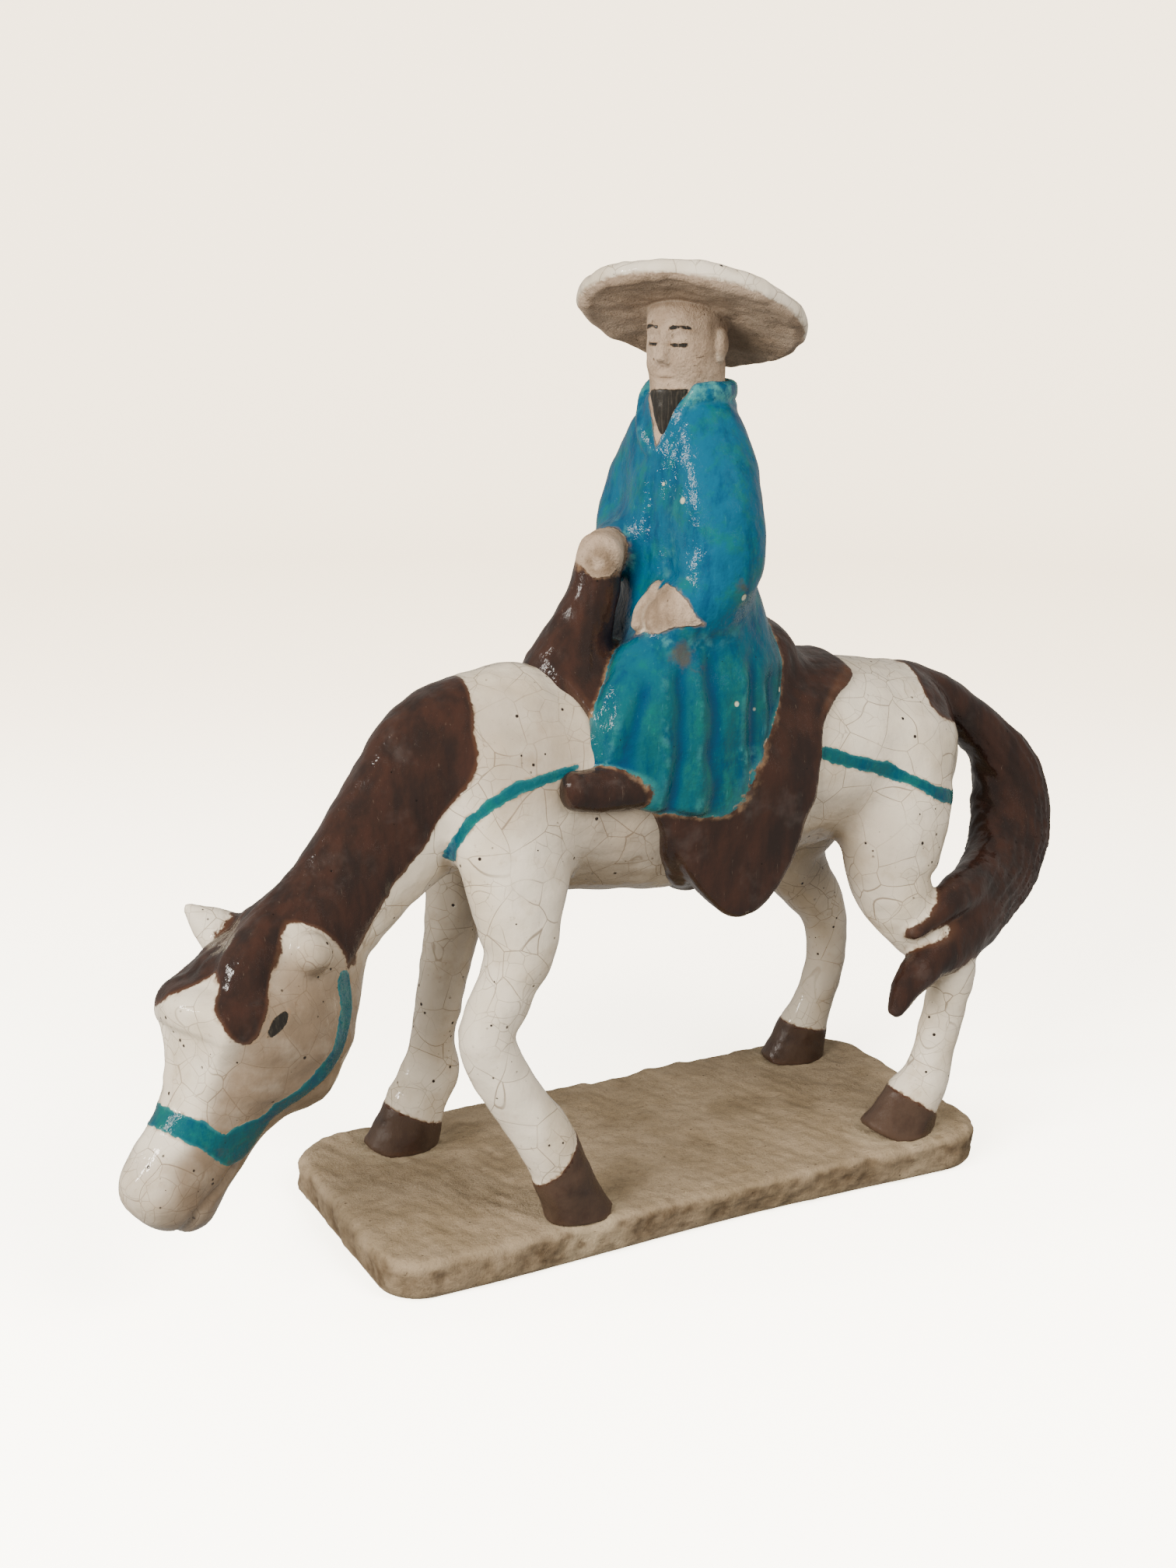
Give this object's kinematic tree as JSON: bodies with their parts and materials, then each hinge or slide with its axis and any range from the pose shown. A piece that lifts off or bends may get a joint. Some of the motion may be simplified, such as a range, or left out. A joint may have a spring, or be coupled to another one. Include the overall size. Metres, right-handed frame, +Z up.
{
  "type": "chinese tomb horse with rider",
  "caption": "Glazed pottery horse bending its neck to graze, with a rider in a robe and a broad round hat, standing on a flat slab of bare clay.",
  "frame": {"origin": "centre of the slab's flat underside", "axes": "the horse faces -X, +X runs towards its tail, +Y is the horse's right, the side away from the rider's turned face, and +Z is up"},
  "size_m": [0.3902, 0.115, 0.3412],
  "materials": {
    "glazed_pottery": "gloss lead glaze in white, dark brown and turquoise, crackled, with bare buff clay on the face, hands and under the hat",
    "bare_clay": "unglazed, matt and gritty"
  },
  "bodies": {
    "root": {"horse_with_rider": "glazed_pottery", "base_slab": "bare_clay"}
  },
  "joints": []
}
